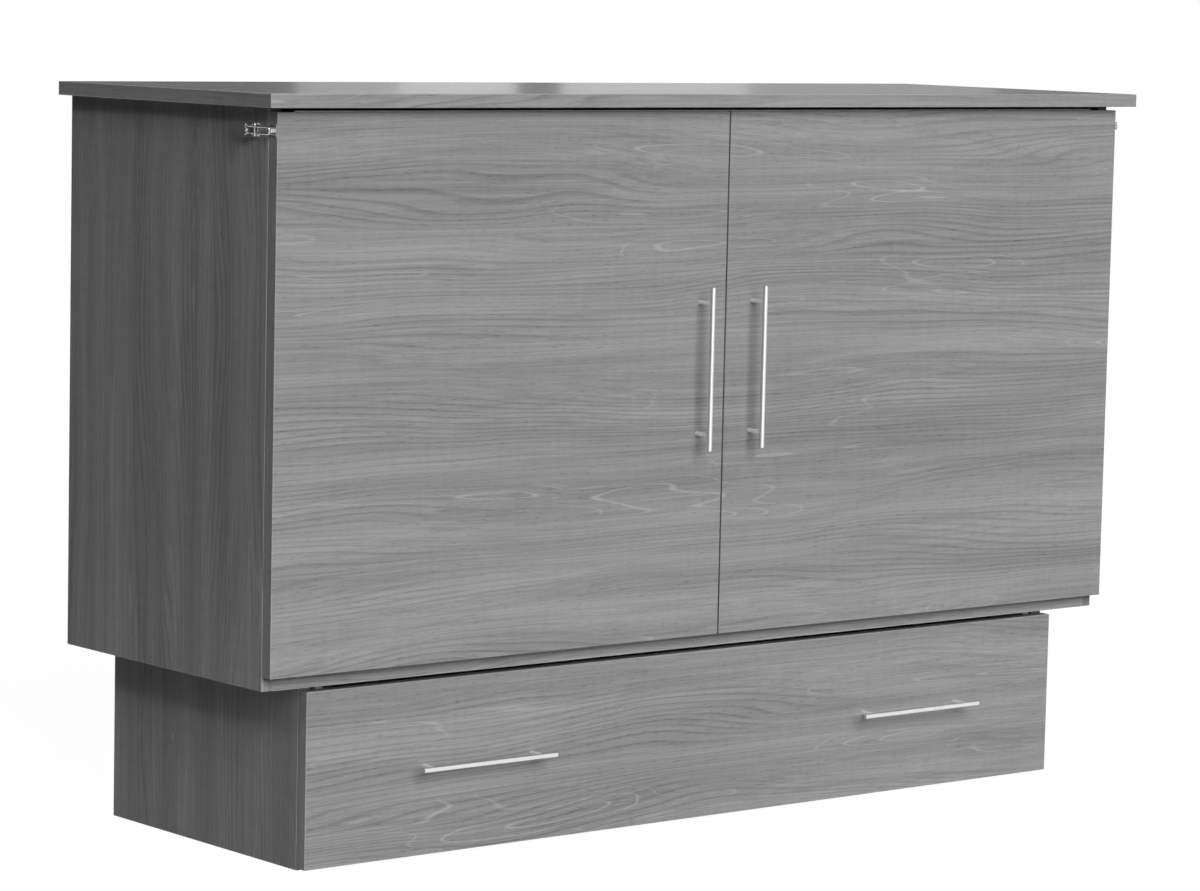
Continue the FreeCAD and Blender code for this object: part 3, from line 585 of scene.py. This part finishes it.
def box_grid(half, rounding, spacing):
    """A block's six faces as one welded grid, with extra rows along its edges. Gives
    the points on the sharp block and the quads, turned outwards."""
    steps = []
    for extent in half:
        flat = extent - rounding
        count = max(2, int(round(2 * flat / spacing)) + 1)
        rim = np.linspace(flat, extent, EDGE_ROWS)[1:]
        steps.append(np.concatenate([-rim[::-1], np.linspace(-flat, flat, count), rim]))
    points, faces, start = [], [], 0
    for axis in range(3):
        first, second = steps[(axis + 1) % 3], steps[(axis + 2) % 3]
        u, v = np.meshgrid(first, second, indexing="ij")
        for sign in (-1, 1):
            sheet = np.empty((*u.shape, 3))
            sheet[..., axis] = sign * half[axis]
            sheet[..., (axis + 1) % 3] = u
            sheet[..., (axis + 2) % 3] = v
            quads = grid_faces(*u.shape)
            if sign > 0:
                quads = quads[:, ::-1]
            points.append(sheet.reshape(-1, 3))
            faces.append(quads + start)
            start += u.size
    points, faces = np.concatenate(points), np.concatenate(faces)
    _, keep, same = np.unique(np.round(points, WELD_DECIMALS), axis=0, return_index=True,
                              return_inverse=True)
    return points[keep], same.reshape(-1)[faces]


def foam_section(low, high, looks):
    """A quilted section. The block's edges are rounded by moving each point onto a sphere
    round its nearest inner point. Two crossed sets of diagonal valleys sink the panels,
    two straight valleys sink the border, the panels fall towards their rim and the border
    draws in between its corners."""
    middle, half = (low + high) / 2, (high - low) / 2
    sharp, faces = box_grid(half, looks.rounding, looks.grid)
    inner = np.clip(sharp, looks.rounding - half, half - looks.rounding)
    out = sharp - inner
    out /= np.linalg.norm(out, axis=1)[:, None]
    points = inner + out * looks.rounding
    x, y, z = (points / half).T
    # 1 on the two flat panels, and 0 where the way out is under two thirds along Y.
    panel = np.clip(np.abs(out[:, 1]) * 3 - 2, 0, 1)
    rim = np.minimum(half[0] - np.abs(points[:, 0]), half[2] - np.abs(points[:, 2]))
    inside = panel * np.clip(rim / QUILT_FADE, 0, 1)
    along_border = np.where(np.abs(out[:, 0]) > np.abs(out[:, 2]), z, x)

    def valley(distance):
        return np.exp(-(distance / looks.seam_width) ** 2)

    def to_line(value):
        return np.abs((value / looks.pitch + 0.5) % 1 - 0.5) * looks.pitch

    diagonals = (valley(to_line(points[:, 0] + points[:, 2]))
                 + valley(to_line(points[:, 0] - points[:, 2])))
    border = valley(np.abs(points[:, 1]) - BORDER_VALLEY) * (1 - panel)
    sink = looks.seam_depth * (np.minimum(diagonals, CROSSING_DEPTH) * inside
                               + BORDER_DEPTH * border)
    sink += looks.crown * panel * (1 - (1 - x ** 2) * (1 - z ** 2))
    sink += looks.waist * (1 - panel) * (1 - along_border ** 2)
    return middle + points - out * sink[:, None], faces


def piping_loop(low, high, looks, side):
    """A tube along the rounded rectangle where a panel meets the border: a corner is a
    quarter circle, and the tube's circle turns with the loop."""
    middle, half = (low + high) / 2, (high - low) / 2
    corner = looks.rounding * PIPING_CORNER
    slant = looks.rounding * (1 - math.cos(math.pi / 4))
    reach = half[[0, 2]] - slant + looks.piping * PIPING_OUT
    turn = np.linspace(0, math.pi / 2, CORNER_POINTS)
    path, outward = [], []
    for quarter, (sx, sz) in enumerate(((1, 1), (-1, 1), (-1, -1), (1, -1))):
        angle = turn + quarter * math.pi / 2
        ray = np.stack([np.cos(angle), np.sin(angle)], axis=1)
        path.append(np.array([sx, sz]) * (reach - corner) + ray * corner)
        outward.append(ray)
    path, outward = np.concatenate(path), np.concatenate(outward)
    circle = np.linspace(0, 2 * math.pi, TUBE_POINTS, endpoint=False)
    depth = half[1] - slant + looks.piping * PIPING_PROUD
    ring = np.empty((len(path), len(circle), 3))
    ring[..., 0] = path[:, None, 0] + outward[:, None, 0] * np.cos(circle) * looks.piping
    ring[..., 2] = path[:, None, 1] + outward[:, None, 1] * np.cos(circle) * looks.piping
    ring[..., 1] = side * depth + np.sin(circle) * looks.piping
    faces = grid_faces(*ring.shape[:2], close_rows=True, close_columns=True)
    return middle + ring.reshape(-1, 3), faces


# ----------------------------------------------------------------------- operators

class CABINETBED_OT_boards(bpy.types.Operator):
    """Prints the wood grain on the cabinet's, the base's and the front's boards"""
    bl_idname = "cabinet_bed.boards"
    bl_label = "Boards"

    def execute(self, context):
        looks = context.scene.cabinet_bed_boards
        for node, (axis, end_axis, shift) in BOARD_GRAIN.items():
            dress(node, laminate(node, axis, end_axis, shift, looks))
        return {"FINISHED"}


class CABINETBED_OT_drawer(bpy.types.Operator):
    """Finishes the drawer's box, its guides and the dowels and screws of the carcass"""
    bl_idname = "cabinet_bed.drawer"
    bl_label = "Drawer box and joinery"

    def execute(self, context):
        looks = context.scene.cabinet_bed_boards
        metals = context.scene.cabinet_bed_metals
        for node, (axis, shift) in PLAIN_WOOD.items():
            dress(node, plain_wood(node, axis, shift, looks))
        for side in SIDES:
            dress(f"drawer_guide_{side}", moulded(f"guide_plastic_{side}", *GUIDE_PLASTIC))
        dress("front_bumpers", moulded("clear_pad", *CLEAR_PAD))
        zinc = brushed("zinc_screw", metals.zinc, "z", metals, metals.screw_roughness)
        for screws in ("base", "slab_cleat", "front_pull", "drawer_pull"):
            dress(f"{screws}_screws", zinc)
        return {"FINISHED"}


class CABINETBED_OT_pulls(bpy.types.Operator):
    """Brushes the bar pulls along their length and their posts across it"""
    bl_idname = "cabinet_bed.pulls"
    bl_label = "Bar pulls"

    def execute(self, context):
        metals = context.scene.cabinet_bed_metals
        dress("front_pull_bars", brushed("nickel_upright", metals.nickel, "z", metals,
                                         metals.upright_roughness))
        dress("drawer_pull_bars", brushed("nickel_level", metals.nickel, "x", metals,
                                          metals.level_roughness))
        posts = brushed("nickel_post", metals.nickel, "y", metals, metals.post_roughness)
        dress("front_pull_posts", posts)
        dress("drawer_pull_posts", posts)
        return {"FINISHED"}


class CABINETBED_OT_latches(bpy.types.Operator):
    """Plates the draw latches on both sides"""
    bl_idname = "cabinet_bed.latches"
    bl_label = "Draw latches"

    def execute(self, context):
        metals = context.scene.cabinet_bed_metals
        plating = brushed("latch_plating", metals.chrome, "y", metals,
                          metals.plating_roughness)
        for side in SIDES:
            for part in ("plate", "pin", "lever", "bail", "keeper"):
                dress(f"latch_{part}_{side}", plating)
        return {"FINISHED"}


class CABINETBED_OT_hinges(bpy.types.Operator):
    """Finishes the two continuous hinges"""
    bl_idname = "cabinet_bed.hinges"
    bl_label = "Continuous hinges"

    def execute(self, context):
        metals = context.scene.cabinet_bed_metals
        steel = brushed("hinge_steel", metals.steel, "x", metals, metals.hinge_roughness)
        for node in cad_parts:
            if "hinge" in node:
                dress(node, steel)
        return {"FINISHED"}


class CABINETBED_OT_casters(bpy.types.Operator):
    """Finishes the drawer's casters"""
    bl_idname = "cabinet_bed.casters"
    bl_label = "Casters"

    def execute(self, context):
        metals = context.scene.cabinet_bed_metals
        steel = brushed("caster_steel", metals.steel, "z", metals, metals.caster_roughness)
        dress("caster_forks", steel)
        dress("caster_axles", steel)
        tyre = moulded("wheel_plastic", *WHEEL_PLASTIC)
        for end in ("front", "back"):
            for side in SIDES:
                dress(f"wheel_{end}_{side}", tyre)
        return {"FINISHED"}


class CABINETBED_OT_mattress(bpy.types.Operator):
    """Makes the three quilted foam sections and their piping"""
    bl_idname = "cabinet_bed.mattress"
    bl_label = "Foam sections"

    def execute(self, context):
        looks = context.scene.cabinet_bed_foam
        cover = cover_cloth(looks)
        for place in ("back", "middle", "front"):
            node = f"mattress_section_{place}"
            dress(node, cover)
            low, high = (np.array(corner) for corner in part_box(node))
            points, faces = foam_section(low, high, looks)
            section = new_piece(f"quilted_section_{place}", points, faces, cover,
                                "cabinet")
            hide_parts(node)
            for side, word in ((-1, "fore"), (1, "aft")):
                points, faces = piping_loop(low, high, looks, side)
                new_piece(f"piping_{place}_{word}", points, faces, cover,
                          "cabinet")
        return {"FINISHED"}


# --------------------------------------------------------------------------- stage

# The camera stands in front of the object, to the left; its place is in metres, its angles
# in degrees and its sensor in millimetres.
CAMERA_PLACE = (-3.96794, -4.84662, 1.19870)
CAMERA_HEADING = 39.052
CAMERA_PITCH = -6.125
CAMERA_ROLL = 1.248
CAMERA_SHIFT = (0.0009, -0.00225)
SENSOR_WIDTH = 36.0
# Where each light stands: its heading counts from straight in front of the object towards
# the right, and its rise from level; all in degrees. Only a shining one shows in gloss.
KEY_LIGHT = {"heading": -9.0, "rise": 26.0, "spread": 40.0, "shining": True}
SIDE_LIGHT = {"heading": -66.0, "rise": 40.0, "spread": 9.0, "shining": True}
REAR_LIGHT = {"heading": 148.0, "rise": 16.0, "spread": 40.0, "shining": False}
# The floor is a disc: its radius in metres, its rings, the points round each ring, and the
# square root of the first ring's share of the radius.
FLOOR_RADIUS = 9.0
FLOOR_RINGS = 24
FLOOR_POINTS = 64
FLOOR_START = 0.02
# Roughness of the floor and the cards.
MATT = 0.9
# Grey cards round the stage, which only gloss sees: the slab top mirrors the far ones. Their
# headings are in degrees from the back towards the right, the rest in metres.
CARD_ROWS = 5
CARD_COLUMNS = 33
CARD_BLACK = (0.02, 0.02, 0.02, 1.0)
FAR = {"radius": 9.5, "height": 7.0}
CARDS = {
    "side_card": {"headings": (-125.0, -20.0), "radius": 2.6, "height": 4.0, "grey": 0.06},
    "back_card": {"headings": (-24.0, 32.0), "grey": 0.05, **FAR},
    "pale_card": {"headings": (32.0, 34.3), "grey": 0.46, **FAR},
    "bright_card": {"headings": (34.3, 36.9), "grey": 0.76, **FAR},
    "narrow_card": {"headings": (36.9, 37.85), "grey": 0.10, **FAR},
    "far_card": {"headings": (37.85, 42.0), "grey": 0.70, **FAR},
    "right_card": {"headings": (42.0, 47.5), "grey": 0.39, **FAR},
    "corner_card": {"headings": (47.5, 62.0), "grey": 0.18, **FAR},
}


def camera_turn():
    """The camera's axes: forward from heading and pitch, then rolled about it."""
    heading, pitch, roll = (math.radians(angle)
                            for angle in (CAMERA_HEADING, CAMERA_PITCH, CAMERA_ROLL))
    forward = Vector((math.sin(heading) * math.cos(pitch), math.cos(heading) * math.cos(pitch),
                      math.sin(pitch)))
    level = Vector((math.cos(heading), -math.sin(heading), 0.0))
    upright = level.cross(forward)
    right = level * math.cos(roll) + upright * math.sin(roll)
    return Matrix((right, right.cross(forward), -forward)).transposed()


class CABINETBED_OT_stage(bpy.types.Operator):
    """Sets up the floor, the light, the white surroundings and the camera"""
    bl_idname = "cabinet_bed.stage"
    bl_label = "Stage"

    def execute(self, context):
        looks = context.scene.cabinet_bed_studio
        self.make_floor(looks)
        for name, card in CARDS.items():
            self.make_card(name, **card)
        self.make_world(context.scene, looks)
        self.make_light("key_light", looks.key_strength, **KEY_LIGHT)
        self.make_light("side_light", looks.side_strength, **SIDE_LIGHT)
        self.make_light("rear_light", looks.rear_strength, **REAR_LIGHT)
        self.make_camera(context.scene, looks)
        context.scene.view_settings.view_transform = "Standard"
        return {"FINISHED"}

    def make_floor(self, looks):
        """A flat disc: rings of points round the middle, closer together there, and a
        many-sided face inside the first."""
        angle = np.linspace(0, 2 * math.pi, FLOOR_POINTS, endpoint=False)
        radius = np.linspace(FLOOR_START, 1, FLOOR_RINGS) ** 2 * FLOOR_RADIUS
        points = np.stack([np.outer(radius, np.cos(angle)), np.outer(radius, np.sin(angle)),
                           np.zeros((FLOOR_RINGS, FLOOR_POINTS))], axis=-1).reshape(-1, 3)
        faces = grid_faces(FLOOR_RINGS, FLOOR_POINTS, close_columns=True)[:, ::-1].tolist()
        faces.append(list(range(FLOOR_POINTS)))
        mesh = bpy.data.meshes.new("floor")
        mesh.from_pydata(points.tolist(), [], faces)
        mesh.materials.append(self.floor_finish(looks))
        floor = bpy.data.objects.new("floor", mesh)
        bpy.context.scene.collection.objects.link(floor)

    def make_card(self, name, headings, radius, height, grey):
        """A card seen in reflections alone: a part of an upright cylinder between two
        headings."""
        heading = np.radians(np.linspace(*headings, CARD_COLUMNS))
        rise = np.linspace(0.0, height, CARD_ROWS)
        points = np.empty((CARD_ROWS, CARD_COLUMNS, 3))
        points[..., 0] = np.sin(heading) * radius
        points[..., 1] = np.cos(heading) * radius
        points[..., 2] = rise[:, None]
        shader = Shader(name)
        cloud = shader.noise(shader.stretched(*CARD_CLOUD, "x"), detail=1.0)
        material = shader.finish(
            Base_Color=CARD_BLACK,
            Roughness=MATT,
            Specular_IOR_Level=0.0,
            Emission_Color=shader.tint(1.0 + swing(cloud, CARD_TONE_SWING), (grey,) * 3),
            Emission_Strength=1.0)
        mesh = bpy.data.meshes.new(name)
        mesh.from_pydata(points.reshape(-1, 3).tolist(), [],
                         grid_faces(CARD_ROWS, CARD_COLUMNS).tolist())
        mesh.materials.append(material)
        card = bpy.data.objects.new(name, mesh)
        bpy.context.scene.collection.objects.link(card)
        card.visible_camera = card.visible_diffuse = card.visible_shadow = False
        card.visible_transmission = False

    def floor_finish(self, looks):
        """Grey to the light, so that it keeps the object's shadow, and nearly white to the
        camera and in reflections."""
        shader = Shader("pale_floor")
        cloud = shader.noise(shader.stretched(*FLOOR_CLOUD, "x"))
        return shader.finish(
            Base_Color=shader.tint(1.0 + swing(cloud, FLOOR_TONE_SWING),
                                   (looks.floor_grey,) * 3),
            Roughness=MATT + swing(cloud, FLOOR_GLOSS_SWING),
            Specular_IOR_Level=0.0,
            Emission_Color=shader.tint(self.ray(shader, "Camera", "Glossy") * looks.floor_glow,
                                       (1.0, 1.0, 1.0)),
            Emission_Strength=1.0)

    def ray(self, shader, *kinds):
        """1 for a ray of one of these kinds, 0 for any other."""
        first, *others = (shader.node("ShaderNodeLightPath", out=f"Is {kind} Ray")
                          for kind in kinds)
        for other in others:
            first = first.larger(other)
        return first

    def make_world(self, scene, looks):
        """White to the camera and in reflections, a dim grey room to the surfaces."""
        scene.world = bpy.data.worlds.new("studio")
        shader = Shader("studio", scene.world)
        white = {"Color": (1.0, 1.0, 1.0, 1.0)}
        room = shader.node("ShaderNodeBackground", None,
                           {**white, "Strength": looks.fill_strength})
        shown = shader.node("ShaderNodeBackground", None, white)
        mix = shader.node("ShaderNodeMixShader", None,
                          [self.ray(shader, "Camera", "Glossy", "Transmission"), room, shown])
        shader.node("ShaderNodeOutputWorld", None, {"Surface": mix})

    def make_light(self, name, strength, heading, rise, spread, shining):
        """A far lamp that looks towards the object from its heading and rise. Its spread is
        the angle that it fills in the sky, and a shining one shows in gloss."""
        lamp = bpy.data.lights.new(name, "SUN")
        lamp.energy = strength
        lamp.angle = math.radians(spread)
        light = bpy.data.objects.new(name, lamp)
        light.visible_glossy = shining
        bpy.context.scene.collection.objects.link(light)
        towards = Vector((math.sin(math.radians(-heading)), math.cos(math.radians(heading)),
                          -math.tan(math.radians(rise))))
        light.rotation_euler = towards.to_track_quat("-Z", "Y").to_euler()

    def make_camera(self, scene, looks):
        """Takes the photograph's view."""
        data = bpy.data.cameras.new("camera")
        data.sensor_width = SENSOR_WIDTH
        data.lens = looks.focal_length
        data.shift_x, data.shift_y = CAMERA_SHIFT
        camera = bpy.data.objects.new("camera", data)
        scene.collection.objects.link(camera)
        camera.matrix_world = Matrix.Translation(CAMERA_PLACE) @ camera_turn().to_4x4()
        scene.camera = camera


# -------------------------------------------------------------------------- add-on

GROUPS = {
    "cabinet_bed_boards": BoardLooks,
    "cabinet_bed_metals": MetalLooks,
    "cabinet_bed_foam": FoamLooks,
    "cabinet_bed_studio": StudioLooks,
}
OPERATORS = (
    CABINETBED_OT_boards,
    CABINETBED_OT_drawer,
    CABINETBED_OT_pulls,
    CABINETBED_OT_latches,
    CABINETBED_OT_hinges,
    CABINETBED_OT_casters,
    CABINETBED_OT_mattress,
    CABINETBED_OT_stage,
)


class CABINETBED_PT_sidebar(bpy.types.Panel):
    """Lists the cabinet bed's pieces and the stage"""
    bl_idname = "CABINETBED_PT_sidebar"
    bl_label = "Cabinet bed"
    bl_space_type = "VIEW_3D"
    bl_region_type = "UI"
    bl_category = "Cabinet bed"

    def draw(self, context):
        for operator in OPERATORS:
            self.layout.operator(operator.bl_idname)
        for name in GROUPS:
            column = self.layout.column()
            for value in GROUPS[name].__annotations__:
                column.prop(getattr(context.scene, name), value)


def register():
    for made in (*GROUPS.values(), *OPERATORS, CABINETBED_PT_sidebar):
        bpy.utils.register_class(made)
    for name, group in GROUPS.items():
        setattr(bpy.types.Scene, name, bpy.props.PointerProperty(type=group))


def unregister():
    for name in GROUPS:
        delattr(bpy.types.Scene, name)
    for made in reversed((*GROUPS.values(), *OPERATORS, CABINETBED_PT_sidebar)):
        bpy.utils.unregister_class(made)


def main():
    """Dresses the cabinet bed."""
    register()
    for operator in OPERATORS:
        group, name = operator.bl_idname.split(".")
        getattr(getattr(bpy.ops, group), name)()


if __name__ == "__main__":
    main()
